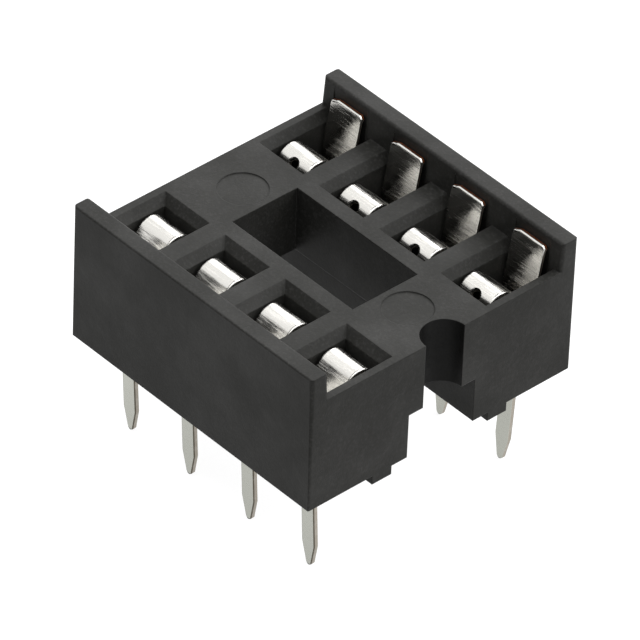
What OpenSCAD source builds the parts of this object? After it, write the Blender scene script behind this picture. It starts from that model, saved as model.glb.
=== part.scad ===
// Open-frame socket for a dual-in-line chip with four leads a side.
// X runs along the rows of contacts, Y across them and Z up.
// The origin is the middle of the plane that the feet stand on, which is the top of the board.

/* [Contact rows] */
// Distance between neighbouring contacts in a row
contact_pitch = 2.54; // [2.3:0.02:2.8]
// Distance between the two rows of tails, at the board
row_spacing = 7.62; // [7.2:0.02:10.2]
// Distance from the last contact's middle to the housing's end face
end_margin = 1.19; // [1.15:0.01:1.6]

/* [Housing] */
// Height of the flat top of the frame, above the board
frame_h = 4.02; // [3.7:0.02:4.6]
// Height that the long side walls rise above the frame
wall_rise = 0.95; // [0.6:0.05:1.2]
// Thickness of the long side walls at their top
wall_t = 0.59; // [0.5:0.01:0.62]
// Distance that each side wall's inner face draws in on its way down to the frame
wall_draft = 0.07; // [0:0.01:0.1]
// Distance from a row's line to the housing's long outer face, at the top
side_margin = 1.16; // [1.13:0.01:1.4]
// Distance that each long outer face draws in on its way down
face_draft = 0.055; // [0:0.005:0.1]
// Thickness of the floor under each contact
floor_t = 0.5; // [0.4:0.05:0.8]
// Thickness of the two end bridges
bridge_t = 2.21; // [1.6:0.01:2.6]
// Length of the opening in the middle
opening_len = 5.034; // [4:0.002:6]
// Width of the opening in the middle
opening_w = 2.43; // [2:0.01:2.6]
// Step at the parting line on the blocks' inner faces
parting_step = 0.024; // [0:0.002:0.05]
// Radius of the housing's four upright edges
edge_r = 0.12; // [0.04:0.01:0.15]
// Radius of the side walls' outer top edge
brow_r = 0.05; // [0.03:0.01:0.15]
// Radius of the side walls' inner top edge
crest_r = 0.1; // [0.04:0.01:0.15]
// Radius of the inner upright edge at each end of the side walls
wall_end_r = 0.12; // [0.04:0.01:0.15]

/* [Lead-in funnels] */
// Width of the sloping lead-in round each cavity
funnel_w = 0.24; // [0.1:0.01:0.25]
// Depth of the sloping lead-in
funnel_depth = 0.28; // [0.1:0.01:0.4]

/* [Feet] */
// Height of the four standoff feet
foot_h = 0.3; // [0.2:0.05:0.6]
// Length of a foot along the rows
foot_len = 1; // [0.6:0.05:1.4]
// Width of a foot across the rows
foot_w = 0.72; // [0.5:0.01:0.9]
// Distance from the middle opening's edge to a foot
foot_inset = 0.595; // [0.3:0.005:0.7]

/* [Notch and moulding marks] */
// Radius of the notch that shows which end is the first lead's
notch_r = 0.72; // [0.5:0.01:0.9]
// Radius of the round ejector mark on each bridge
mark_r = 0.75; // [0.4:0.01:0.8]
// Depth of the ejector marks
mark_depth = 0.03; // [0.01:0.01:0.1]
// Distance from the end face to an ejector mark's middle
mark_inset = 1.55; // [1.4:0.01:1.6]

/* [Contact] */
// Thickness of the contact's sheet
sheet_t = 0.15; // [0.12:0.01:0.2]
// Width of the contact
contact_w = 1.26; // [1.1:0.01:1.28]
// Distance from the row's line to the far face of the inner leg
leg_reach = 1.68; // [1.6:0.01:1.72]
// Outer radius of the rolled-over top of the inner leaf
hump_r = 0.51; // [0.42:0.01:0.55]
// Depth of the rolled-over top below the frame's top
crown_drop = 0.22; // [0.1:0.01:0.4]
// Depth of the outer leaf's top edge below the side wall's top
leaf_drop = 0.34; // [0.15:0.01:0.45]
// Gap between the outer leaf's back and the side wall, at the leaf's top
leaf_gap = 0.02; // [0.01:0.01:0.1]
// Gap between the two leaves where they come closest
nip_gap = 0.1; // [0.04:0.01:0.2]
// Height above the board of the place where the leaves come closest
nip_h = 2.7; // [2.4:0.05:2.8]
// Outer radius of the leaves' bends at that place
nip_r = 0.4; // [0.3:0.01:0.5]
// Length of the flat end of the inner leaf below its bend
lead_out = 0.2; // [0.1:0.05:0.3]
// Outer radius of the bend between the base and the inner leg
leg_bend_r = 0.4; // [0.3:0.01:0.5]
// Outer radius of the bend between the base and the outer leaf
leaf_bend_r = 0.26; // [0.25:0.01:0.28]
// Width of the cut corner at the outer leaf's top
clip_w = 0.25; // [0.1:0.01:0.5]
// Height of the cut corner at the outer leaf's top
clip_h = 0.1; // [0.05:0.01:0.3]
// Size of the small cut at the leaf's other top corner
nick = 0.08; // [0.02:0.01:0.1]
// Radius of the round hole that ends the tail's slit
hole_r = 0.16; // [0.12:0.01:0.22]
// Angle of that hole above the level, on the rolled-over top
hole_rise = 30; // [20:1:45]

/* [Tail] */
// Width of the solder tail
tail_w = 0.52; // [0.4:0.01:0.6]
// Length of the tail below the board's top
tail_len = 3.06; // [2.5:0.02:3.6]
// Length of the tapered end of the tail
taper_len = 0.78; // [0.5:0.02:1.4]
// Radius of the tail's rounded tip
tip_r = 0.12; // [0.06:0.01:0.15]
// Angle by which the tails lean towards the middle
toe_in = 3.5; // [0:0.1:6]

/* [Clearances] */
// Gap on each side of a contact in its cavity
side_clear = 0.07; // [0.03:0.01:0.1]
// Gap between the inner leg and the cavity's inner wall
leg_clear = 0.14; // [0.08:0.01:0.2]
// Gap on each side of a contact's base in its pocket
seat_clear = 0.02; // [0.01:0.01:0.03]
// Gap round the tail in its slot through the floor
slot_clear = 0.06; // [0.03:0.01:0.1]
// Gap that the cut leaves on each side of the tail's tongue
lance_gap = 0.03; // [0.01:0.01:0.05]

/* [Hidden] */
$fn = 64;
// Overrun of the cutting shapes past the faces that they cut
over = 1;
contacts_per_row = 4;
row_y = row_spacing / 2;
body_len = (contacts_per_row - 1) * contact_pitch + 2 * end_margin;
half_len = body_len / 2;
half_w = row_y + side_margin;
wall_top = frame_h + wall_rise;
bridge_bottom = frame_h - bridge_t;
cavity_floor = foot_h + floor_t;

// Places in a contact's own section: y is measured outwards from the row's line, z up from the board.
wall_face = side_margin - wall_t;
wall_foot = wall_face - wall_draft;
throat_in = -(leg_reach + leg_clear);
throat_half = contact_w / 2 + side_clear;
pocket_half = contact_w / 2 + seat_clear;
pocket_top = nip_h - nip_r - lead_out;
base_top = cavity_floor + sheet_t;

// Centres of the strip's bends
hump_c = [-leg_reach + hump_r, frame_h - crown_drop - hump_r];
nip_in_c = [-nip_gap / 2 - nip_r, nip_h];
nip_out_c = [nip_gap / 2 + nip_r, nip_h];
leg_bend_c = [-leg_reach + leg_bend_r, cavity_floor + leg_bend_r];
// Outer radius of the tail's fold, and the flat of the base between it and the next bend
fold_r = 0.25;
fold_land = 0.05;
fold_z = base_top - fold_r;
fold_c = [fold_z * tan(toe_in) + (fold_r - sheet_t / 2) / cos(toe_in), fold_z];
leaf_bend_c = [fold_c[0] + fold_land, cavity_floor + leaf_bend_r];
leaf_top = wall_top - leaf_drop;
leaf_face = wall_face - leaf_gap - sheet_t;

// Directions in which the strip's flats face: each is square to a line that touches the bends at both its ends
function aim(from, to) = atan2(to[1] - from[1], to[0] - from[0]);
function turn(from, to, gap) = acos(gap / norm(to - from));
inner_lean = aim(hump_c, nip_in_c) + turn(hump_c, nip_in_c, hump_r - nip_r);
leaf_lean = aim(nip_out_c, [leaf_face, leaf_top]) + turn(nip_out_c, [leaf_face, leaf_top], nip_r);
heel_lean = 360 + aim(nip_out_c, leaf_bend_c) - turn(nip_out_c, leaf_bend_c, nip_r + leaf_bend_r - sheet_t);
// Direction in which the flat at the inner leaf's free end faces
free_end = -30;

function polar(r, angle) = r * [cos(angle), sin(angle)];

// Points along an arc, about six degrees apart
function arc(centre, r, from, to) = let (steps = ceil(abs(to - from) / 6))
    [for (i = [0 : steps]) centre + polar(r, from + (to - from) * i / steps)];

function backwards(points) = [for (i = [len(points) - 1 : -1 : 0]) points[i]];

// One face of the strip from the outer leaf's top to the inner leaf's free end.
// The layer is 0 for the face towards the chip's lead on the outer leaf, and 1 for the face behind it.
function strip_face(layer) = let (
        depth = layer * sheet_t,
        leaf_r = nip_r - depth,
        grow = depth - sheet_t,
        leaf_run = (leaf_top + sheet_t - nip_out_c[1]) / sin(leaf_lean - 90)
    ) concat(
        [nip_out_c + polar(leaf_r, leaf_lean) + polar(leaf_run, leaf_lean - 90)],
        arc(nip_out_c, leaf_r, leaf_lean, heel_lean),
        arc(leaf_bend_c, leaf_bend_r + grow, heel_lean - 180, -90),
        arc(leg_bend_c, leg_bend_r + grow, 270, 180),
        arc(hump_c, hump_r + grow, 180, inner_lean),
        arc(nip_in_c, nip_r + grow, inner_lean, free_end),
        [nip_in_c + polar(nip_r + grow, free_end) + polar(lead_out, free_end - 90)]
    );

// The strip seen from the side, without its tail
module strip_section() {
    polygon(concat(strip_face(0), backwards(strip_face(1))));
}

// One face of the tail, from the base through its fold and down towards the middle, past its tip
function tail_face(r) = let (
        start = fold_c + polar(r, 180 - toe_in),
        run = (start[1] + tail_len + over) / cos(toe_in)
    ) concat(
        [[leaf_bend_c[0], fold_c[1] + r]],
        arc(fold_c, r, 90, 180 - toe_in),
        [start + polar(run, 270 - toe_in)]
    );

// The tail seen from the side
module tail_section() {
    polygon(concat(tail_face(fold_r), backwards(tail_face(fold_r - sheet_t))));
}

// Carries a section in y and z into a solid of the given width along X
module across(width) {
    translate([-width / 2, 0, 0])
        rotate([90, 0, 90])
            linear_extrude(width)
                children();
}

// Carries an outline in x and z into a solid from one y to another
module along(from, to) {
    translate([0, to, 0])
        rotate([90, 0, 0])
            linear_extrude(to - from)
                children();
}

// A tongue's outline that ends in a round tip at z = 0, from x = 0 both ways
module tongue(half, tip, length) {
    polygon([[-half, length], [-half, taper_len], [-tip, tip], [tip, tip], [half, taper_len], [half, length]]);
    translate([0, tip])
        circle(tip);
}

// What is cut from the outer leaf's top to give its level edge and its two cut corners
module leaf_trim() {
    side = contact_w / 2;
    edge = leaf_top + over;
    polygon([[-side - over, edge], [-side - over, leaf_top - clip_h], [-side, leaf_top - clip_h],
             [-side + clip_w, leaf_top], [side - nick, leaf_top], [side, leaf_top - nick],
             [side + over, leaf_top - nick], [side + over, edge]]);
}

// The slit that the tail leaves in the base and the inner leg, and the round hole that ends it
module lance_cut() {
    half = tail_w / 2 + lance_gap;
    slit_top = hump_c[1] + (hump_r - sheet_t) * sin(hole_rise);
    along(-leg_reach - over, -leg_reach + leg_bend_r)
        translate([0, slit_top])
            mirror([0, 1])
                tongue(half, tip_r, slit_top - cavity_floor);
    translate([-half, -leg_reach - over, cavity_floor - over])
        cube([2 * half, leg_reach + over + fold_c[0], over + leg_bend_r]);
    translate([0, hump_c[0], hump_c[1]])
        rotate([90 - hole_rise, 0, 0])
            cylinder(r = hole_r, h = hump_r + over);
}

// One contact, with its row's line at y = 0
module contact_body() {
    difference() {
        across(contact_w)
            strip_section();
        along(0, side_margin)
            leaf_trim();
        lance_cut();
    }
    intersection() {
        across(tail_w)
            tail_section();
        along(-over, over)
            translate([0, -tail_len])
                tongue(tail_w / 2, tip_r, tail_len + base_top + over);
    }
}

// Middle of the numbered contact along its row
function contact_x(place) = (place - (contacts_per_row - 1) / 2) * contact_pitch;

// A contact in its row: side is 1 for the row at +Y and -1 for the row at -Y
module contact(place, side) {
    color("gainsboro")
        translate([contact_x(place), side * row_y, 0])
            rotate([0, 0, side > 0 ? 0 : 180])
                contact_body();
}

// Cuts a square edge to a quarter round: the corner is at the origin, and the part is below and left of it
module edge_cut(r) {
    difference() {
        translate([-r, -r])
            square(r + over);
        translate([-r, -r])
            circle(r);
    }
}

// Half of the frame seen from its end: a block with its raised wall
module block_section() {
    inner = opening_w / 2;
    difference() {
        polygon([[inner + parting_step, foot_h], [inner + parting_step, bridge_bottom], [inner, bridge_bottom],
                 [inner, frame_h], [row_y + wall_foot, frame_h], [row_y + wall_face, wall_top - crest_r],
                 [row_y + wall_face, wall_top], [half_w, wall_top], [half_w - face_draft, foot_h]]);
        translate([half_w, wall_top])
            edge_cut(brow_r);
        translate([row_y + wall_face, wall_top])
            mirror([1, 0])
                edge_cut(crest_r);
    }
}

// The frame's plan, with its four upright edges rounded
module plan() {
    difference() {
        square([body_len, 2 * half_w], center = true);
        for (x = [-1, 1], y = [-1, 1])
            mirror([x < 0 ? 1 : 0, 0])
                mirror([0, y < 0 ? 1 : 0])
                    translate([half_len, half_w])
                        edge_cut(edge_r);
    }
}

// Rounds the inner upright edge at one end of one side wall: the cut leans with the wall's drafted face
module wall_end_cut() {
    intersection() {
        translate([half_len, row_y + wall_foot, frame_h])
            rotate([-atan2(wall_draft, wall_rise - crest_r), 0, 0])
                translate([0, 0, -over])
                    linear_extrude(wall_rise + 2 * over)
                        mirror([0, 1])
                            edge_cut(wall_end_r);
        translate([0, 0, frame_h])
            cube([half_len + over, half_w + over, wall_rise + over]);
    }
}

// What one contact takes out of its block: funnel, throat, pocket and the tail's slot
module cavity() {
    mouth_half = throat_half + funnel_w;
    mouth_in = throat_in - funnel_w;
    funnel_z = frame_h - funnel_depth;
    // Funnel: the two slopes beside the contact and the one behind it meet in mitred corners
    intersection() {
        along(mouth_in - over, wall_foot)
            polygon([[-throat_half, funnel_z], [throat_half, funnel_z], [mouth_half, frame_h],
                     [mouth_half, wall_top], [-mouth_half, wall_top], [-mouth_half, frame_h]]);
        across(2 * mouth_half)
            polygon([[throat_in, funnel_z], [wall_foot, funnel_z], [wall_foot, wall_top],
                     [mouth_in, wall_top], [mouth_in, frame_h]]);
    }
    translate([-throat_half, throat_in, pocket_top])
        cube([2 * throat_half, wall_face - throat_in, frame_h - pocket_top - funnel_depth / 2]);
    // Shallow recess behind the outer leaf, which runs out at the wall's top
    translate([-throat_half, 0, funnel_z])
        cube([2 * throat_half, wall_face, wall_top - funnel_z]);
    translate([-pocket_half, throat_in, cavity_floor])
        cube([2 * pocket_half, wall_face - throat_in, frame_h - cavity_floor - funnel_depth]);
    slot_half = tail_w / 2 + slot_clear;
    slot_in = -sheet_t / 2 - slot_clear;
    translate([-slot_half, slot_in, 0])
        cube([2 * slot_half, fold_c[0] + slot_clear - slot_in, cavity_floor + floor_t / 2]);
}

// A standoff foot under one end of one block
module foot() {
    inner = opening_w / 2 + foot_inset;
    translate([half_len - foot_len, inner, 0])
        cube([foot_len, foot_w, foot_h + floor_t / 2]);
}

module housing() {
    color("#2d2d2c")
        difference() {
            intersection() {
                union() {
                    for (side = [0, 180])
                        rotate([0, 0, side])
                            across(body_len)
                                block_section();
                    for (end = [0, 180])
                        rotate([0, 0, end])
                            translate([opening_len / 2, -opening_w, bridge_bottom])
                                cube([half_len - opening_len / 2, 2 * opening_w, bridge_t]);
                    for (x = [0, 1], y = [0, 1])
                        mirror([x, 0, 0])
                            mirror([0, y, 0])
                                foot();
                }
                linear_extrude(wall_top)
                    plan();
            }
            for (side = [0, 180], place = [0 : contacts_per_row - 1])
                rotate([0, 0, side])
                    translate([contact_x(place), row_y, 0])
                        cavity();
            for (x = [0, 1], y = [0, 1])
                mirror([x, 0, 0])
                    mirror([0, y, 0])
                        wall_end_cut();
            translate([half_len, 0, bridge_bottom - over])
                cylinder(r = notch_r, h = bridge_t + 2 * over);
            for (end = [-1, 1])
                translate([end * (half_len - mark_inset), 0, frame_h - mark_depth])
                    cylinder(r = mark_r, h = over);
        }
}

housing();
contact(0, -1);  // contact_1
contact(1, -1);  // contact_2
contact(2, -1);  // contact_3
contact(3, -1);  // contact_4
contact(3, 1);  // contact_5
contact(2, 1);  // contact_6
contact(1, 1);  // contact_7
contact(0, 1);  // contact_8
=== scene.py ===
import math

import bpy
import numpy as np
from mathutils import Matrix, Vector


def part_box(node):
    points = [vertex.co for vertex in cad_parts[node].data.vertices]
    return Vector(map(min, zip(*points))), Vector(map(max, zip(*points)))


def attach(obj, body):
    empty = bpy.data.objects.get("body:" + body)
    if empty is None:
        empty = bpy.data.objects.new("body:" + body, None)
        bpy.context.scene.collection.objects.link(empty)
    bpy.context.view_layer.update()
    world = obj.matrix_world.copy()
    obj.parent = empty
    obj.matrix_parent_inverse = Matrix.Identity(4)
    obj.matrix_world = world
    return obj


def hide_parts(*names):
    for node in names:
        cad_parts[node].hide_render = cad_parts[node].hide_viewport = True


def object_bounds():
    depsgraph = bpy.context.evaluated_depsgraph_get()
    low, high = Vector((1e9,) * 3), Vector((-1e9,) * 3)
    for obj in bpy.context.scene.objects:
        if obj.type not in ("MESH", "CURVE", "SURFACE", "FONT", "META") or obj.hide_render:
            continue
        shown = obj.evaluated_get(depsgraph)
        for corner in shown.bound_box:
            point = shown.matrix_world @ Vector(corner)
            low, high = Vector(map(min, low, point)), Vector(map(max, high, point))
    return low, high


bl_info = {
    "name": "Open-frame chip socket",
    "version": (1, 0, 0),
    "blender": (4, 5, 0),
    "location": "3D View > Sidebar > Socket",
    "description": "Finishes a moulded socket frame, forms its tinned contacts and sets a pale studio round it",
    "category": "Object",
}

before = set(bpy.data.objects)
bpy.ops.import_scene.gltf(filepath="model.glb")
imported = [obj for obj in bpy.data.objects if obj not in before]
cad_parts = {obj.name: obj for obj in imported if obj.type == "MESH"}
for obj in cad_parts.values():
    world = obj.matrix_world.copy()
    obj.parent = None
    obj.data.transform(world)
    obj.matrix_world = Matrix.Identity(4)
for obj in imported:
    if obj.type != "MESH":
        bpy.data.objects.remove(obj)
CAD_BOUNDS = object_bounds()
CONTACTS = sorted(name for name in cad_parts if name.startswith("contact"))
MM = 0.001
# Points closer than this are one point
WELD = 1e-4 * MM
# Direction in which the flat at the inner leaf's free end faces, in degrees
FREE_END = -30
# Points across a ribbon beside the slit, and across the tail
RIBBON = 8
TONGUE = 9
# Longest steps along the sheet: on a flat, and in degrees round a bend
FLAT_STEP = 0.08 * MM
BEND_STEP = 4.0
# Rows round half of the hole, round the tail's tip, and round each edge of the sheet
HOLE_ROWS = 17
TIP_ROWS = 9
EDGE_ROWS = 5
# Share of the hole's radius, down from its middle, at which the slit runs into it
HOLE_MOUTH = 0.85
# Beyond the hole the columns beside the tongue part again over this length
REOPEN = 0.12 * MM
# Flat between the tail's fold and the heel bend
HEEL_FLAT = 0.05 * MM
# The coined edge grows over this height, and starts this many times that height under the leaf's top
COIN_FADE = 0.12 * MM
COIN_START = 1.6
# The tail's own edge grows over this depth below the board's top
LANCE_FADE = 0.1 * MM
# At a corner of the rim, the shortest sum of its two ways out that is still followed
SHARPEST = 1.2
# Rows, points and vectors that are nearer or shorter than these count as one point, or as none
SAME_ROW = 1e-7
SAME_POINT = 1e-9
NO_LENGTH = 1e-12
# Keeps the round sizes of the part off the borders between the cells in which points are joined
CELL_SHIFT = 0.317
# Finish of each face of a contact
PLATED, CUT, TORN, BARE = range(4)
# Heights between which the tin turns dull and darker, the darker colour being partly painted shade for the shadow
# under the part, and distances from the part's middle between which it turns rubbed
DULL_SHADE_FROM, DULL_SHADE_TO = 0.5 * MM, -0.3 * MM
RUB_FROM, RUB_TO = 3.6 * MM, 3.2 * MM
# Shares of the notch's radius between which the painted shade on its wall begins
NOTCH_FROM, NOTCH_TO = 1.02, 1.005
# Share of the tin's light that its worn places give back
WORN = 0.86
# Half the floor's side, the sensor's width in mm, and the camera's nearest and furthest distances
FLOOR_HALF = 1.2
SENSOR = 36.0
CLIP = (0.01, 10.0)


def length(name, description, millimetres):
    """A size in metres, given in millimetres."""
    return bpy.props.FloatProperty(
        name=name, description=description, default=millimetres * MM, precision=6,
        subtype="DISTANCE", unit="LENGTH")


def angle(name, description, degrees):
    """An angle in radians, given in degrees."""
    return bpy.props.FloatProperty(
        name=name, description=description, default=math.radians(degrees), subtype="ANGLE", unit="ROTATION")


def amount(name, description, value):
    """A plain number."""
    return bpy.props.FloatProperty(name=name, description=description, default=value, precision=4)


def colour(name, description, rgb):
    """A linear colour."""
    return bpy.props.FloatVectorProperty(
        name=name, description=description, default=rgb, size=3, min=0, max=1, subtype="COLOR")


class SocketMoulding(bpy.types.PropertyGroup):
    """Finish of the moulded frame."""

    tint: colour("Colour", "Colour of the black moulding compound", (0.0098, 0.0098, 0.0088))
    bloom: colour("Bloom", "Colour of its paler, worn or dusty places", (0.0290, 0.0285, 0.0275))
    roughness: amount("Roughness", "Mean roughness of the moulded skin", 0.45)
    gloss: amount("Gloss", "Strength of the skin's reflection", 0.08)
    grain: length("Grain", "Size of the skin's fine grain", 0.05)
    relief: length("Relief", "Height of the skin's grain", 0.0032)
    edge: length("Edge", "Radius of the small rounding on every moulded edge", 0.045)
    # Painted shade: the notch's wall gets this darker colour for the shade that fills the notch.
    notch_shade: colour(
        "Polished", "Colour where the mould's polished pin formed the notch", (0.0025, 0.0025, 0.0023))
    notch: length("Notch", "Radius of the notch at the end", 0.72)


class SocketContact(bpy.types.PropertyGroup):
    """Sizes and finish of one stamped contact."""

    sheet: length("Sheet", "Thickness of the sheet", 0.15)
    width: length("Width", "Width of the strip", 1.26)
    reach: length("Reach", "Distance from the row's line to the far face of the inner leg", 1.68)
    hump: length("Hump", "Outer radius of the rolled-over top", 0.51)
    crown: length("Crown", "Height of the rolled-over top above the board", 3.8)
    leaf_top: length("Leaf top", "Height of the outer leaf's top edge above the board", 4.63)
    leaf_out: length("Leaf face", "Distance from the row's line to the outer leaf's face, at its top", 0.4)
    nip_gap: length("Nip gap", "Gap between the leaves where they come closest", 0.1)
    nip_height: length("Nip height", "Height of that place above the board", 2.7)
    nip_bend: length("Nip bend", "Outer radius of the leaves' bends at that place", 0.4)
    lead_out: length("Lead-out", "Length of the flat end of the inner leaf", 0.2)
    leg_bend: length("Leg bend", "Outer radius of the bend between the base and the inner leg", 0.4)
    heel_bend: length("Heel bend", "Outer radius of the bend between the base and the outer leaf", 0.26)
    floor: length("Floor", "Height of the base's underside above the board", 0.8)
    clip_width: length("Clip width", "Width of the cut corner at the leaf's top", 0.25)
    clip_height: length("Clip height", "Height of that cut corner", 0.1)
    nick: length("Nick", "Size of the small cut at the other corner", 0.08)
    hole: length("Hole", "Radius of the round hole that ends the slit", 0.16)
    hole_rise: angle("Hole rise", "Angle of the hole above the level", 30)
    tail_width: length("Tail width", "Width of the solder tail", 0.52)
    tail_length: length("Tail length", "Length of the tail below the board's top", 3.06)
    taper: length("Taper", "Length of the tail's tapered end", 0.78)
    tip: length("Tip", "Radius of the tail's tip", 0.12)
    toe_in: angle("Toe-in", "Lean of the tail towards the middle", 3.5)
    fold: length("Fold", "Outer radius of the tail's fold", 0.25)
    lance: length("Lance gap", "Gap that the cut leaves on each side of the tail's tongue", 0.03)
    roll: length("Rolled edge", "Radius of the sheet's edge on the side that the die pressed", 0.07)
    lanced: length("Lanced edge", "Radius of the solder tail's edge on the side that the die pressed", 0.03)
    burr: length("Burr edge", "Radius of the sheet's edge on its other side", 0.015)
    coined: length("Coined edge", "Radius of the outer leaf's top edge on the side that faces the lead", 0.07)
    tin: colour("Tin", "Colour of the tin plate", (0.50, 0.49, 0.465))
    # Partly duller tin, partly painted shade: the tails are darkened for the shadow that falls under the part.
    dull_and_shaded: colour("Dull tin", "Colour of the tin on the solder tails", (0.40, 0.405, 0.365))
    sheared: colour("Sheared edge", "Colour of the thin, rough tin on the cut sides", (0.33, 0.30, 0.255))
    # A dark colour on the solder tail's rolled edge, below the board's top.
    tail_edge_tone: colour("Torn edge", "Colour of the solder tail's edge, which the cut left dark", (0.09, 0.08, 0.06))
    bare: colour("Bare metal", "Colour of the copper alloy where the strip was broken off", (0.26, 0.09, 0.04))


class SocketStage(bpy.types.PropertyGroup):
    """Camera, floor and light."""

    azimuth: angle("Azimuth", "Turn of the camera round the part", 46.66)
    elevation: angle("Elevation", "Height of the camera as an angle", 39.08)
    roll: angle("Roll", "Lean of the camera about its own line of sight", 2.49)
    distance: length("Distance", "From the camera to the point that it looks at", 244.0)
    aim_x: length("Aim X", "Point that the camera looks at, along the rows", 0.203)
    aim_y: length("Aim Y", "The same, across the rows", -0.253)
    aim_z: length("Aim Z", "The same, above the board", 1.69)
    lens: amount("Lens", "Focal length on a 36 mm sensor", 489.5)
    sky: amount("Sky", "Strength of the pale surroundings", 0.1)
    ceiling: amount("Ceiling", "Brightness of the wide diffuser over the part", 1.5)
    overhead: amount("Overhead light", "Brightness of the soft light in the diffuser's middle", 2.6)
    back: amount("Back light", "Brightness of the broad soft light behind the part", 3.1)
    right: amount("Right light", "Brightness of the soft light behind the notched end", 2.6)
    left: amount("Left light", "Brightness of the low soft light at the other end", 1.9)
    paper: colour("Paper", "Colour of the floor", (0.15, 0.15, 0.15))
    glow: amount("Glow", "Light that the floor gives by itself, as a light table does", 0.9)


# Each soft light: the setting with its brightness, its width and height, and its place, in metres
SOFTBOXES = (
    ("ceiling", 1.4, 1.4, (0.0, 0.0, 0.45)),
    ("overhead", 0.45, 0.45, (0.0, 0.0, 0.44)),
    ("back", 1.4, 0.5, (0.0, 0.5, 0.32)),
    ("right", 1.0, 0.45, (0.55, 0.36, 0.36)),
    ("left", 0.9, 0.3, (-0.6, 0.0, 0.15)),
)


class Socket:
    """A shader socket that takes part in Python expressions: each operator adds one Math node."""

    def __init__(self, graph, link):
        self.graph = graph
        self.link = link

    def _math(self, operation, *values):
        return self.graph.node("ShaderNodeMath", {"operation": operation}, dict(enumerate(values)))

    def __add__(self, other):
        return self._math("ADD", self, other)

    def __radd__(self, other):
        return self._math("ADD", other, self)

    def __sub__(self, other):
        return self._math("SUBTRACT", self, other)

    def __mul__(self, other):
        return self._math("MULTIPLY", self, other)

    def __rmul__(self, other):
        return self._math("MULTIPLY", other, self)

    def __abs__(self):
        return self._math("ABSOLUTE", self)

    def ramp(self, low, high):
        """0 below low, 1 above high and smooth between."""
        return self.graph.node(
            "ShaderNodeMapRange", {"interpolation_type": "SMOOTHSTEP"},
            {"Value": self, "From Min": low, "From Max": high, "To Min": 0.0, "To Max": 1.0}, "Result")


class Graph:
    """The node tree of one new material."""

    def __init__(self, name):
        self.material = bpy.data.materials.new(name)
        self.material.use_nodes = True
        self.tree = self.material.node_tree
        self.tree.nodes.clear()

    def node(self, kind, settings=None, values=None, output=0):
        """Adds a node: its settings first, then its sockets' values or links. Returns one output."""
        made = self.tree.nodes.new(kind)
        for key, value in (settings or {}).items():
            setattr(made, key, value)
        for key, value in (values or {}).items():
            socket = made.inputs[key]
            if isinstance(value, Socket):
                self.tree.links.new(value.link, socket)
            elif isinstance(value, (tuple, list)) and socket.type == "RGBA" and len(value) == 3:
                socket.default_value = (*value, 1.0)
            else:
                socket.default_value = value
        if len(made.outputs) == 0:
            return made
        return Socket(self, made.outputs[output])

    def place(self, stretch=(1.0, 1.0, 1.0)):
        """Object coordinates, each axis multiplied by its own factor."""
        where = self.node("ShaderNodeTexCoord", output="Object")
        return self.node("ShaderNodeMapping", {"vector_type": "POINT"}, {"Vector": where, "Scale": stretch})

    def axis(self, name):
        """One of the object coordinates, in metres."""
        where = self.node("ShaderNodeTexCoord", output="Object")
        return self.node("ShaderNodeSeparateXYZ", None, {"Vector": where}, name)

    def noise(self, size, stretch=(1.0, 1.0, 1.0), detail=3.0, roughness=0.55):
        """Noise from 0 to 1 whose features are about `size` metres across."""
        return self.node("ShaderNodeTexNoise", {"noise_dimensions": "3D"}, {
            "Vector": self.place(stretch), "Scale": 1.0 / size, "Detail": detail, "Roughness": roughness})

    def mix(self, factor, first, second):
        """One colour where the factor is 0, and the other where it is 1."""
        return self.node("ShaderNodeMix", {"data_type": "RGBA"}, {0: factor, 6: first, 7: second}, 2)

    def finish(self, **sockets):
        """Ends in a Principled shader with the sockets given by their names."""
        values = {key.replace("_", " "): value for key, value in sockets.items()}
        shader = self.node("ShaderNodeBsdfPrincipled", None, values)
        self.node("ShaderNodeOutputMaterial", None, {"Surface": shader})
        return self.material


def black_moulding(look):
    """Black moulded thermoplastic: fine grain, faint flow clouds, softly rounded edges and painted shade on the
    notch's wall.
    """
    graph = Graph("black_moulding")
    clouds = graph.noise(2.2 * MM, detail=4.0).ramp(0.35, 0.75)
    specks = graph.noise(0.09 * MM, detail=2.0).ramp(0.45, 0.8)
    grain = graph.noise(look.grain, detail=2.0)
    skin = graph.noise(0.32 * MM, detail=2.0)
    # Painted shade: the notch's wall, the only skin within its radius from the middle of the end's top edge, gets
    # a darker colour for the shade that fills the notch.
    along, across = graph.axis("X") - CAD_BOUNDS[1][0], graph.axis("Y")
    inside = (along * along + across * across).ramp(
        (NOTCH_FROM * look.notch) ** 2, (NOTCH_TO * look.notch) ** 2)
    rounded = graph.node("ShaderNodeBevel", {"samples": 8}, {"Radius": look.edge})
    normal = graph.node("ShaderNodeBump", None, {
        "Strength": 1.0, "Distance": look.relief, "Height": grain + 2.0 * skin, "Normal": rounded})
    skin_colour = graph.mix(0.3 * clouds + 0.6 * specks, tuple(look.tint), tuple(look.bloom))
    return graph.finish(
        Base_Color=graph.mix(inside, skin_colour, tuple(look.notch_shade)),
        Roughness=look.roughness + 0.2 * specks - 0.1 * clouds,
        Specular_IOR_Level=look.gloss,
        Normal=normal)


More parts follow.
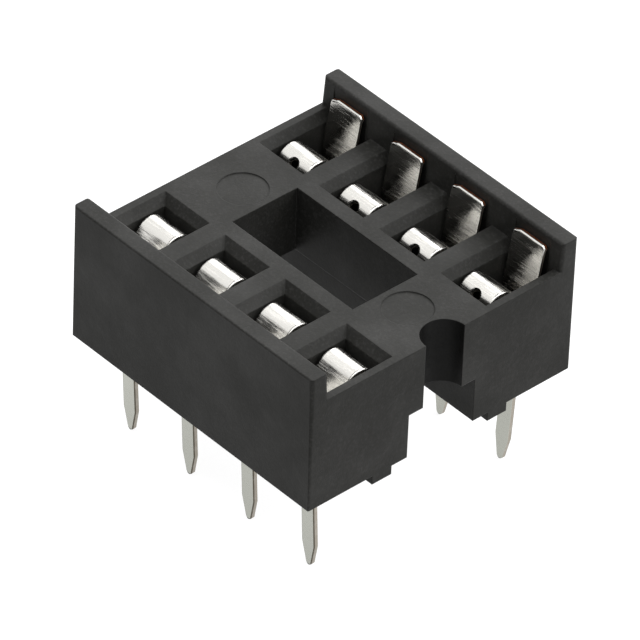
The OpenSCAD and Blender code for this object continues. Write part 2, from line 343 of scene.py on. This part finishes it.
def tin_plate(look):
    """Bright tin over stamped sheet: fine streaks and scores along the rows, and faint smears.

    It is a little rougher on the inner leaves' rolled-over tops, and both rougher and darker on the solder tails,
    where the darker colour is partly duller tin and partly painted shade for the shadow under the part.
    """
    graph = Graph("tin_plate")
    streaks = graph.noise(0.022 * MM, (0.05, 1.0, 1.0), detail=3.0)
    scores = graph.noise(0.055 * MM, (0.05, 1.0, 1.0), detail=3.0).ramp(0.48, 0.66)
    smears = graph.noise(0.5 * MM, (0.6, 1.0, 1.0), detail=3.0).ramp(0.4, 0.7)
    # Below the board's top the tin gets a darker colour: partly duller tin, partly painted shade for the shadow
    # under the part.
    below = graph.axis("Z").ramp(DULL_SHADE_FROM, DULL_SHADE_TO)
    rubbed = abs(graph.axis("Y")).ramp(RUB_FROM, RUB_TO)
    worn = tuple(WORN * value for value in look.tin)
    upper = graph.mix(0.4 * smears + 0.3 * scores, tuple(look.tin), worn)
    normal = graph.node("ShaderNodeBump", None, {
        "Strength": 1.0, "Distance": 0.0018 * MM, "Height": streaks + 0.6 * scores})
    return graph.finish(
        Base_Color=graph.mix(below, upper, tuple(look.dull_and_shaded)),
        Metallic=1.0,
        Roughness=0.07 + 0.07 * smears + 0.05 * streaks + 0.14 * scores + 0.07 * rubbed + 0.08 * below,
        Normal=normal)


def cut_metal(name, tint, smeared, share):
    """Metal on a cut edge: torn along the cut, with another colour smeared over part of it."""
    graph = Graph(name)
    tears = graph.noise(0.03 * MM, detail=3.0)
    smear = graph.noise(0.16 * MM, detail=2.0).ramp(0.45, 0.72)
    normal = graph.node("ShaderNodeBump", None, {"Strength": 1.0, "Distance": 0.003 * MM, "Height": tears})
    return graph.finish(
        Base_Color=graph.mix(share * smear, tuple(tint), tuple(smeared)),
        Metallic=1.0,
        Roughness=0.36 + 0.2 * tears,
        Normal=normal)


def plain_paper(look):
    """The pale floor, which glows a little as a light table does."""
    graph = Graph("plain_paper")
    return graph.finish(Base_Color=tuple(look.paper), Roughness=0.9, Specular_IOR_Level=0.0,
                        Emission_Color=(1.0, 1.0, 1.0), Emission_Strength=look.glow)


def direction(degrees):
    """Unit vectors in the plane of y and z at the given angles."""
    turn = np.radians(degrees)
    return np.stack([np.cos(turn), np.sin(turn)], axis=-1)


def bearing(start, end):
    """Angle of the way from one point to another, in degrees."""
    return math.degrees(math.atan2(end[1] - start[1], end[0] - start[0]))


def lean(start, end, gap):
    """Angle at a bend's centre between the way to the next centre and the normal of the flat between them."""
    return math.degrees(math.acos(gap / math.dist(start, end)))


class Path:
    """The middle line of a bent sheet in y and z, as rows of points with their normals and lengths."""

    def __init__(self):
        self.points = []
        self.normals = []

    def bend(self, centre, radius, start, end, turn):
        """An arc about a centre. The normal points away from the centre for turn 1 and to it for -1."""
        count = max(2, math.ceil(abs(end - start) / BEND_STEP))
        rays = direction(np.linspace(start, end, count + 1))
        self.points.append(np.asarray(centre) + radius * rays)
        self.normals.append(turn * rays)

    def run(self, start, end, normal):
        """A straight flat between two points, ends included."""
        count = max(1, math.ceil(math.dist(start, end) / FLAT_STEP))
        share = np.linspace(0.0, 1.0, count + 1)[:, None]
        self.points.append((1.0 - share) * np.asarray(start) + share * np.asarray(end))
        self.normals.append(np.repeat(np.asarray(normal)[None, :], count + 1, axis=0))

    def rows(self):
        """All rows once, with the distance along the line."""
        points = np.concatenate(self.points)
        normals = np.concatenate(self.normals)
        gaps = np.linalg.norm(np.diff(points, axis=0), axis=1)
        keep = np.concatenate([[True], gaps > SAME_POINT])
        points, normals = points[keep], normals[keep]
        along = np.concatenate([[0.0], np.cumsum(np.linalg.norm(np.diff(points, axis=0), axis=1))])
        return points, normals, along


def rounded_end(gap, radius):
    """Half width of a round end of the given radius, at a distance from its tip."""
    short = np.clip(radius - gap, 0.0, radius)
    return np.sqrt(np.maximum(radius ** 2 - short ** 2, 0.0))


def tongue_half(gap, half, tip, taper):
    """Half width of a tongue at a distance from its tip: a round tip, a straight taper, then parallel."""
    slope = np.interp(gap, [tip, taper], [tip, half])
    return np.where(gap < tip, rounded_end(gap, tip), slope)


def spread(points, extra):
    """Adds values to a sorted row of distances, without near repeats."""
    joined = np.unique(np.concatenate([points, extra]))
    keep = np.concatenate([[True], np.diff(joined) > SAME_ROW])
    return joined[keep]


def grid_faces(rows, columns, offset=0):
    """The quads of a grid of points, row by row, as an array of four indices each."""
    first = (np.arange(rows - 1)[:, None] * columns + np.arange(columns - 1)[None, :]).ravel() + offset
    return np.stack([first, first + 1, first + columns + 1, first + columns], axis=1)


def weld(points, normals, quads):
    """Joins points that lie together, and drops the faces that this closes up."""
    keys = np.floor(points / WELD + CELL_SHIFT).astype(np.int64)
    _, first, which = np.unique(keys, axis=0, return_index=True, return_inverse=True)
    quads = which.reshape(-1)[quads]
    triangles = np.concatenate([quads[:, [0, 1, 2]], quads[:, [0, 2, 3]]])
    a, b, c = triangles.T
    open_ones = (a != b) & (b != c) & (c != a)
    return points[first], normals[first], triangles[open_ones]


def rim_of(points, normals, triangles):
    """Edges that only one triangle uses, and at each of their points the way out of the sheet, in its plane."""
    edges = np.concatenate([triangles[:, [0, 1]], triangles[:, [1, 2]], triangles[:, [2, 0]]])
    key = np.sort(edges, axis=1)
    _, which, count = np.unique(key, axis=0, return_inverse=True, return_counts=True)
    rim = edges[count[which.reshape(-1)] == 1]
    step = points[rim[:, 1]] - points[rim[:, 0]]
    step /= np.linalg.norm(step, axis=1, keepdims=True)
    out = np.zeros_like(points)
    for end in (0, 1):
        side = np.cross(step, normals[rim[:, end]])
        np.add.at(out, rim[:, end], side / np.maximum(np.linalg.norm(side, axis=1, keepdims=True), NO_LENGTH))
    size = np.linalg.norm(out, axis=1, keepdims=True)
    touched = size[:, 0] > SAME_POINT
    out[touched] /= size[touched]
    # A corner moves further than a straight edge, so that both its sides keep their distance.
    reach = np.where(touched, 2.0 / np.maximum(size[:, 0], SHARPEST), 0.0)
    return rim, out, reach


def sheet_metal(points, normals, triangles, thickness, roll, burr):
    """A closed sheet about a middle surface: its points, faces, normals, and a mark on each face.

    Each of its two faces is the middle surface moved along its normals by half the thickness. Round the rim a
    profile joins them: a quarter round of the rolled edge, the flat cut, and a quarter round on the burr's side.
    The radii of both rounds, roll and burr, are given at each point. At an angle t round one of them, a point
    lies the radius times 1 minus the cosine of t below the face, and the radius times 1 minus the sine of t in
    from the cut. The mark is CUT on the flat cut, TORN on the rolled edge and PLATED elsewhere.
    """
    rim, out, reach = rim_of(points, normals, triangles)
    half = thickness / 2
    quarter = np.radians(np.linspace(0.0, 90.0, EDGE_ROWS))
    # Each row of the profile: height across the sheet, distance in from the cut, and the normal's two shares
    rolled = [(half - roll * (1 - math.cos(t)), roll * (1 - math.sin(t)), math.cos(t), math.sin(t))
              for t in quarter]
    burred = [(burr * (1 - math.cos(t)) - half, burr * (1 - math.sin(t)), -math.cos(t), math.sin(t))
              for t in quarter[::-1]]
    profile = rolled + burred
    layers = [points + height[:, None] * normals - (inset * reach)[:, None] * out
              for height, inset, _, _ in profile]
    tilts = [up * normals + side * out for _, _, up, side in profile]
    count = len(points)
    last = len(profile) - 1
    used = np.unique(rim)
    # Both faces come first, then the rim's points on every layer between them
    vertices = [layers[0], layers[last]]
    vertex_normals = [normals, -normals]
    index = {0: np.arange(count), last: np.arange(count) + count}
    for layer in range(1, last):
        place = np.full(count, -1)
        place[used] = np.arange(len(used)) + 2 * count + (layer - 1) * len(used)
        index[layer] = place
        vertices.append(layers[layer][used])
        vertex_normals.append(tilts[layer][used])
    faces = [triangles, triangles[:, ::-1] + count]
    marks = [np.full(2 * len(triangles), PLATED)]
    cut_layer = len(rolled) - 1
    for layer in range(last):
        a, b = index[layer][rim[:, 0]], index[layer][rim[:, 1]]
        c, d = index[layer + 1][rim[:, 1]], index[layer + 1][rim[:, 0]]
        quads = np.stack([b, a, d, c], axis=1)
        faces.append(np.concatenate([quads[:, [0, 1, 2]], quads[:, [0, 2, 3]]]))
        # The rolled edge's faces are marked for the dark edge colour, which place_marks keeps only below the
        # board's top.
        mark = TORN if layer < cut_layer else CUT if layer == cut_layer else PLATED
        marks.append(np.full(2 * len(rim), mark))
    return tuple(np.concatenate(rows) for rows in (vertices, faces, vertex_normals, marks))


def edge_radii(size, height):
    """Radii of the rolled edge and of the burr's edge, at points of the given heights.

    At the leaf's top the first shrinks to the burr's and the second grows to the coined one. Along the tail
    the first shrinks to the lanced one.
    """
    top = np.clip((height - size.leaf_top) / COIN_FADE + COIN_START, 0.0, 1.0)
    tail = np.clip(-height / LANCE_FADE, 0.0, 1.0)
    roll = size.roll * (1.0 - top - tail) + size.burr * top + size.lanced * tail
    burr = size.burr * (1.0 - top) + size.coined * top
    return roll, burr


def place_marks(size, height, marks):
    """The marks of faces at the given heights: the dark edge colour only below the board's top, and bare at the
    leaf's top.
    """
    marks = np.where((marks == TORN) & (height > 0.0), PLATED, marks)
    broken_off = height > size.leaf_top - size.clip_height - size.nick / 4
    return np.where((marks == CUT) & broken_off, BARE, marks)


def new_piece(name, vertices, faces, normals, marks, finishes):
    """A mesh object at the frame's origin, with smooth normals and one finish for each mark."""
    mesh = bpy.data.meshes.new(name)
    mesh.from_pydata(vertices.tolist(), [], faces.tolist())
    for finish in finishes:
        mesh.materials.append(finish)
    mesh.polygons.foreach_set("material_index", marks.astype(np.int32))
    mesh.polygons.foreach_set("use_smooth", np.ones(len(faces), bool))
    size = np.linalg.norm(normals, axis=1, keepdims=True)
    mesh.normals_split_custom_set_from_vertices((normals / np.maximum(size, NO_LENGTH)).tolist())
    mesh.update()
    piece = bpy.data.objects.new(name, mesh)
    bpy.context.scene.collection.objects.link(piece)
    return piece


class Contact:
    """The middle surface of one contact, with its row's line at y = 0 and its middle at x = 0.

    Its middle line in y and z is made of flats and of arcs about the bends' centres, each flat being tangent to
    both its arcs. Every row of the surface runs across that line, along x, between the sheet's cut sides.
    """

    def __init__(self, size):
        self.size = size
        self.half = size.sheet / 2
        self.place_bends()
        self.points = []
        self.normals = []
        self.quads = []
        self.count = 0

    def place_bends(self):
        """Centres of the bends, and the directions in which the flats between them face."""
        size = self.size
        self.hump = (-size.reach + size.hump, size.crown - size.hump)
        self.nip_in = (-size.nip_gap / 2 - size.nip_bend, size.nip_height)
        self.nip_out = (size.nip_gap / 2 + size.nip_bend, size.nip_height)
        self.leg = (-size.reach + size.leg_bend, size.floor + size.leg_bend)
        fold_z = size.floor + size.sheet - size.fold
        fold_y = fold_z * math.tan(size.toe_in) + (size.fold - self.half) / math.cos(size.toe_in)
        self.fold = (fold_y, fold_z)
        self.heel = (fold_y + HEEL_FLAT, size.floor + size.heel_bend)
        leaf_end = (size.leaf_out, size.leaf_top)
        self.inner_lean = bearing(self.hump, self.nip_in) + lean(
            self.hump, self.nip_in, size.hump - size.nip_bend)
        self.leaf_lean = bearing(self.nip_out, leaf_end) + lean(self.nip_out, leaf_end, size.nip_bend)
        self.heel_lean = 360 + bearing(self.nip_out, self.heel) - lean(
            self.nip_out, self.heel, size.nip_bend + size.heel_bend - size.sheet)

    def middle_line(self):
        """The strip's middle line from the outer leaf's top to the inner leaf's free end."""
        size, half = self.size, self.half
        path = Path()
        leaf_ray = direction(self.leaf_lean)
        nip_middle = size.nip_bend - half
        up = direction(self.leaf_lean - 90)
        start = np.asarray(self.nip_out) + nip_middle * leaf_ray
        path.run(start + (size.leaf_top - start[1]) / up[1] * up, start, -leaf_ray)
        path.bend(self.nip_out, nip_middle, self.leaf_lean, self.heel_lean, -1)
        heel_ray = direction(self.heel_lean)
        path.run(np.asarray(self.nip_out) + nip_middle * heel_ray,
                 np.asarray(self.heel) - (size.heel_bend - half) * heel_ray, -heel_ray)
        path.bend(self.heel, size.heel_bend - half, self.heel_lean - 180, -90, 1)
        base_z = size.floor + half
        path.run((self.heel[0], base_z), (self.fold[0], base_z), (0.0, -1.0))
        path.run((self.fold[0], base_z), (self.leg[0], base_z), (0.0, -1.0))
        path.bend(self.leg, size.leg_bend - half, 270, 180, 1)
        leg_y = -size.reach + half
        path.run((leg_y, self.leg[1]), (leg_y, self.hump[1]), (-1.0, 0.0))
        path.bend(self.hump, size.hump - half, 180, self.inner_lean, 1)
        inner_ray = direction(self.inner_lean)
        path.run(np.asarray(self.hump) + (size.hump - half) * inner_ray,
                 np.asarray(self.nip_in) + nip_middle * inner_ray, inner_ray)
        path.bend(self.nip_in, nip_middle, self.inner_lean, FREE_END, 1)
        free_ray = direction(FREE_END)
        tip = np.asarray(self.nip_in) + nip_middle * free_ray
        path.run(tip, tip + size.lead_out * direction(FREE_END - 90), free_ray)
        return path.rows()

    def tail_line(self):
        """The tail's middle line from its fold under the base to its tip."""
        size = self.size
        middle = size.fold - self.half
        lean_in = math.degrees(size.toe_in)
        path = Path()
        path.bend(self.fold, middle, 90, 180 - lean_in, -1)
        ray = direction(180 - lean_in)
        start = np.asarray(self.fold) + middle * ray
        # The corner of the tip's lower face touches the floor, so the middle line ends a little above it.
        low = size.tail_length - self.half * math.sin(size.toe_in)
        run = (start[1] + low) / math.cos(size.toe_in)
        path.run(start, start + run * direction(270 - lean_in), -ray)
        return path.rows()

    def carry(self, rows, left, right, columns, base):
        """A grid of points across the sheet, from left to right at every row, on the given middle line."""
        line, line_normals, along = base
        y = np.interp(rows, along, line[:, 0])
        z = np.interp(rows, along, line[:, 1])
        ny = np.interp(rows, along, line_normals[:, 0])
        nz = np.interp(rows, along, line_normals[:, 1])
        size = np.hypot(ny, nz)
        share = np.linspace(0.0, 1.0, columns)[None, :]
        x = left[:, None] * (1.0 - share) + right[:, None] * share
        wide = np.ones_like(share)
        points = np.stack([x, y[:, None] * wide, z[:, None] * wide], axis=-1)
        normals = np.stack([np.zeros_like(x), (ny / size)[:, None] * wide, (nz / size)[:, None] * wide], axis=-1)
        self.points.append(points.reshape(-1, 3))
        self.normals.append(normals.reshape(-1, 3))
        self.quads.append(grid_faces(len(rows), columns, self.count))
        self.count += points.shape[0] * columns

    def surface(self):
        """All grids of the contact, welded into one middle surface."""
        size = self.size
        strip = self.middle_line()
        line, _, along = strip
        side = size.width / 2
        slit = size.tail_width / 2 + size.lance
        tongue = size.tail_width / 2
        fold_at = along[np.argmin(np.hypot(line[:, 0] - self.fold[0], line[:, 1] - (size.floor + self.half)))]
        leg_at = along[np.argmin(np.hypot(line[:, 0] + size.reach - self.half, line[:, 1] - self.hump[1]))]
        hole_at = leg_at + (size.hump - self.half) * size.hole_rise
        hole_end = hole_at + size.hole
        slit_end = hole_at - HOLE_MOUTH * size.hole
        hole_rows = hole_at + size.hole * np.sin(np.linspace(-1.0, math.pi / 2, HOLE_ROWS))
        taper_rows = slit_end - np.array([0.0, size.tip, size.taper])
        # The outer leaf and the base, down to the fold line: whole width, with its two cut top corners
        rows = spread(along[along <= fold_at + SAME_POINT], [size.nick, size.clip_height])
        left = -side + np.interp(rows, [0.0, size.clip_height], [size.clip_width, 0.0])
        right = side - np.interp(rows, [0.0, size.nick], [size.nick, 0.0])
        inner = np.full(len(rows), slit)
        middle = np.full(len(rows), tongue)
        self.whole_width(rows, left, right, inner, middle, strip)
        # Two ribbons beside the slit that the tail was cut from, up to the far end of the round hole
        beside = (along >= fold_at - SAME_POINT) & (along < hole_end)
        rows = spread(along[beside], np.concatenate([hole_rows, taper_rows]))
        gap = np.interp(rows, taper_rows[::-1], [slit, size.tip, size.tip])
        round_part = size.hole * np.sqrt(np.clip(1.0 - ((rows - hole_at) / size.hole) ** 2, 0.0, 1.0))
        hole_part = np.where(rows < hole_at, np.maximum(size.tip, round_part), round_part)
        inner = np.where(rows > slit_end, hole_part, np.maximum(gap, size.tip))
        inner[-1] = 0.0
        edge = np.full(len(rows), side)
        self.carry(rows, -edge, -inner, RIBBON, strip)
        self.carry(rows, inner, edge, RIBBON, strip)
        # The rolled-over top and the inner leaf beyond the hole
        rows = spread(along[along > hole_end], [rows[-1]])
        opened = np.interp(rows - rows[0], [0.0, REOPEN], [0.0, 1.0])
        edge = np.full(len(rows), side)
        self.whole_width(rows, -edge, edge, slit * opened, tongue * opened, strip)
        # The tail
        tail = self.tail_line()
        ends = tail[2][-1]
        rows = spread(tail[2], ends - np.concatenate([
            [size.taper], size.tip * (1.0 - np.cos(np.linspace(0.0, math.pi / 2, TIP_ROWS)))]))
        half = tongue_half(ends - rows, tongue, size.tip, size.taper)
        half[-1] = 0.0
        self.carry(rows, -half, half, TONGUE, tail)
        return weld(np.concatenate(self.points), np.concatenate(self.normals), np.concatenate(self.quads))

    def whole_width(self, rows, left, right, inner, middle, strip):
        """Five neighbouring grids across the whole width, split where the ribbons and the tail begin."""
        self.carry(rows, left, np.maximum(left, -inner), RIBBON, strip)
        self.carry(rows, -inner, -middle, 2, strip)
        self.carry(rows, -middle, middle, TONGUE, strip)
        self.carry(rows, middle, inner, 2, strip)
        self.carry(rows, inner, right, RIBBON, strip)


class SOCKET_OT_moulding(bpy.types.Operator):
    """Gives the moulded frame its black finish"""

    bl_idname = "socket.moulding"
    bl_label = "Finish the moulding"

    def execute(self, context):
        finish = black_moulding(context.scene.socket_moulding)
        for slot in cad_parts["housing"].material_slots:
            slot.material = finish
        return {"FINISHED"}


class SOCKET_OT_contacts(bpy.types.Operator):
    """Forms the stamped contacts from bent sheet, one for each cavity"""

    bl_idname = "socket.contacts"
    bl_label = "Form the contacts"

    def execute(self, context):
        size = context.scene.socket_contact
        finishes = (tin_plate(size), cut_metal("sheared_edge", size.sheared, size.tin, 0.3),
                    cut_metal("dark_tail_edge", size.tail_edge_tone, size.sheared, 0.2),
                    cut_metal("bare_edge", size.bare, size.sheared, 0.25))
        middle = Contact(size).surface()
        roll, burr = edge_radii(size, middle[0][:, 2])
        points, faces, normals, marks = sheet_metal(*middle, size.sheet, roll, burr)
        marks = place_marks(size, points[faces].mean(axis=1)[:, 2], marks)
        for node in CONTACTS:
            low, high = (np.asarray(corner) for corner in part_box(node))
            side = 1.0 if low[1] > 0 else -1.0
            turned = np.array([side, side, 1.0])
            inner = min(abs(low[1]), abs(high[1]))
            centre = np.array([(low[0] + high[0]) / 2, side * (inner + size.reach), 0.0])
            piece = new_piece(
                "formed_" + node, points * turned + centre, faces, normals * turned, marks, finishes)
            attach(piece, "root")
            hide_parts(node)
        return {"FINISHED"}


def camera_turn(azimuth, elevation, roll):
    """Turn of a camera that looks along the azimuth, measured from +Y towards -X, and down by the elevation."""
    level = Matrix.Rotation(azimuth, 3, "Z") @ Matrix.Rotation(math.pi / 2 - elevation, 3, "X")
    return level @ Matrix.Rotation(roll, 3, "Z")


def soft_light(name, brightness, width, height, place):
    """A rectangular area light that faces the part. Its power is its brightness times pi times its area."""
    lamp = bpy.data.lights.new(name, "AREA")
    lamp.shape = "RECTANGLE"
    lamp.size = width
    lamp.size_y = height
    lamp.energy = brightness * math.pi * width * height
    holder = bpy.data.objects.new(name, lamp)
    holder.location = place
    holder.rotation_euler = (-Vector(place)).to_track_quat("-Z", "Y").to_euler()
    bpy.context.scene.collection.objects.link(holder)


class SOCKET_OT_stage(bpy.types.Operator):
    """Sets the floor, the soft light and the camera"""

    bl_idname = "socket.stage"
    bl_label = "Set the stage"

    def execute(self, context):
        look = context.scene.socket_stage
        scene = context.scene
        scene.view_settings.view_transform = "Standard"
        floor_z = CAD_BOUNDS[0][2]
        mesh = bpy.data.meshes.new("floor")
        corners = [(x * FLOOR_HALF, y * FLOOR_HALF, floor_z) for x, y in ((-1, -1), (1, -1), (1, 1), (-1, 1))]
        mesh.from_pydata(corners, [], [(0, 1, 2, 3)])
        mesh.materials.append(plain_paper(look))
        floor = bpy.data.objects.new("floor", mesh)
        scene.collection.objects.link(floor)
        world = bpy.data.worlds.new("pale_room")
        world.use_nodes = True
        sky = world.node_tree.nodes["Background"]
        sky.inputs["Color"].default_value = (1.0, 1.0, 1.0, 1.0)
        sky.inputs["Strength"].default_value = look.sky
        scene.world = world
        for name, width, height, place in SOFTBOXES:
            soft_light(name + "_light", getattr(look, name), width, height, place)
        lens = bpy.data.cameras.new("camera")
        lens.lens = look.lens
        lens.sensor_width = SENSOR
        lens.clip_start, lens.clip_end = CLIP
        camera = bpy.data.objects.new("camera", lens)
        turn = camera_turn(look.azimuth, look.elevation, look.roll)
        aim = Vector((look.aim_x, look.aim_y, look.aim_z))
        camera.matrix_world = Matrix.Translation(aim + turn @ Vector((0, 0, look.distance))) @ turn.to_4x4()
        scene.collection.objects.link(camera)
        scene.camera = camera
        return {"FINISHED"}


class SOCKET_PT_panel(bpy.types.Panel):
    """Sizes, finishes and stage of the socket"""

    bl_label = "Open-frame chip socket"
    bl_idname = "SOCKET_PT_panel"
    bl_space_type = "VIEW_3D"
    bl_region_type = "UI"
    bl_category = "Socket"

    def draw(self, context):
        scene = context.scene
        for operator, group in ((SOCKET_OT_moulding, scene.socket_moulding),
                                (SOCKET_OT_contacts, scene.socket_contact),
                                (SOCKET_OT_stage, scene.socket_stage)):
            box = self.layout.box()
            box.operator(operator.bl_idname)
            for name in group.__annotations__:
                box.prop(group, name)


OPERATORS = (SOCKET_OT_moulding, SOCKET_OT_contacts, SOCKET_OT_stage)
GROUPS = {"socket_moulding": SocketMoulding, "socket_contact": SocketContact, "socket_stage": SocketStage}


def register():
    """Adds the settings, the operators and the panel to Blender."""
    for group in GROUPS.values():
        bpy.utils.register_class(group)
    for operator in OPERATORS:
        bpy.utils.register_class(operator)
    bpy.utils.register_class(SOCKET_PT_panel)
    for name, group in GROUPS.items():
        setattr(bpy.types.Scene, name, bpy.props.PointerProperty(type=group))


def unregister():
    """Takes them out again."""
    for name in GROUPS:
        delattr(bpy.types.Scene, name)
    bpy.utils.unregister_class(SOCKET_PT_panel)
    for operator in reversed(OPERATORS):
        bpy.utils.unregister_class(operator)
    for group in reversed(list(GROUPS.values())):
        bpy.utils.unregister_class(group)


def main():
    """Builds everything in order."""
    register()
    bpy.ops.socket.moulding()
    bpy.ops.socket.contacts()
    bpy.ops.socket.stage()


if __name__ == "__main__":
    main()
